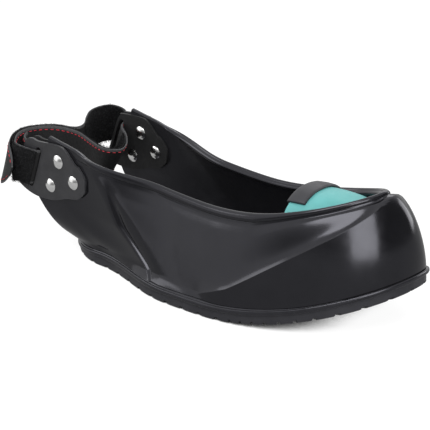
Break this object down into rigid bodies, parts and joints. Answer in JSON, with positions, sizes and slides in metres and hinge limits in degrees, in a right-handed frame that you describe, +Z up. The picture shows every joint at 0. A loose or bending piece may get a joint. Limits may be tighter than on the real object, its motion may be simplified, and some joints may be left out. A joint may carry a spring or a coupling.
{
  "type": "slip resistant overshoe",
  "caption": "Open heel rubber overshoe with a lugged slip resistant sole, an inner toe cap and an adjustable hook and loop heel strap, worn over a shoe for grip on ice and snow.",
  "frame": {"origin": "on the ground under the middle of the sole, on its centre line", "axes": "+X to the toe, +Y to the wearer's left, +Z up"},
  "size_m": [0.3563, 0.1334, 0.0986],
  "materials": {
    "glossy_rubber": "moulded black rubber with a gloss",
    "matte_rubber": "matte black tread rubber",
    "cap_paint": "turquoise paint, satin",
    "guard_rubber": "soft matte black rubber",
    "anchor_leather": "grained black leather",
    "rivet_metal": "bright nickel plate",
    "strap_backing": "smooth black webbing with red stitching",
    "loop_pile": "fuzzy black loop pile",
    "hook_tape": "black hook tape"
  },
  "bodies": {
    "shoe": {"upper_shell": "glossy_rubber", "outsole": "matte_rubber", "toe_cap": "cap_paint", "toe_cap_guard": "guard_rubber", "left_strap_anchor": "anchor_leather", "right_strap_anchor": "anchor_leather", "left_rivet_a": "rivet_metal", "left_rivet_b": "rivet_metal", "left_rivet_c": "rivet_metal", "right_rivet_a": "rivet_metal", "right_rivet_b": "rivet_metal", "right_rivet_c": "rivet_metal", "left_rivet_cap_a": "rivet_metal", "left_rivet_cap_b": "rivet_metal", "left_rivet_cap_c": "rivet_metal", "right_rivet_cap_a": "rivet_metal", "right_rivet_cap_b": "rivet_metal", "right_rivet_cap_c": "rivet_metal", "heel_strap": "strap_backing", "heel_strap_pile": "loop_pile"},
    "strap_fold": {"fold_strap": "strap_backing", "fold_strap_pile": "loop_pile", "fold_strap_hook": "hook_tape"},
    "strap_tab": {"strap_tab": "strap_backing", "strap_tab_hook": "hook_tape"}
  },
  "joints": [
    {"name": "fold_open", "type": "hinge", "parent": "shoe", "child": "strap_fold", "pos_m": [-0.16474, 0.053, 0.07005], "axis": [-0.342, 0, -0.9397], "range_deg": [0, 75]},
    {"name": "tab_lift", "type": "hinge", "parent": "strap_fold", "child": "strap_tab", "pos_m": [-0.20358, -0.01766, 0.07055], "axis": [0, 0, -1], "range_deg": [0, 100]}
  ]
}
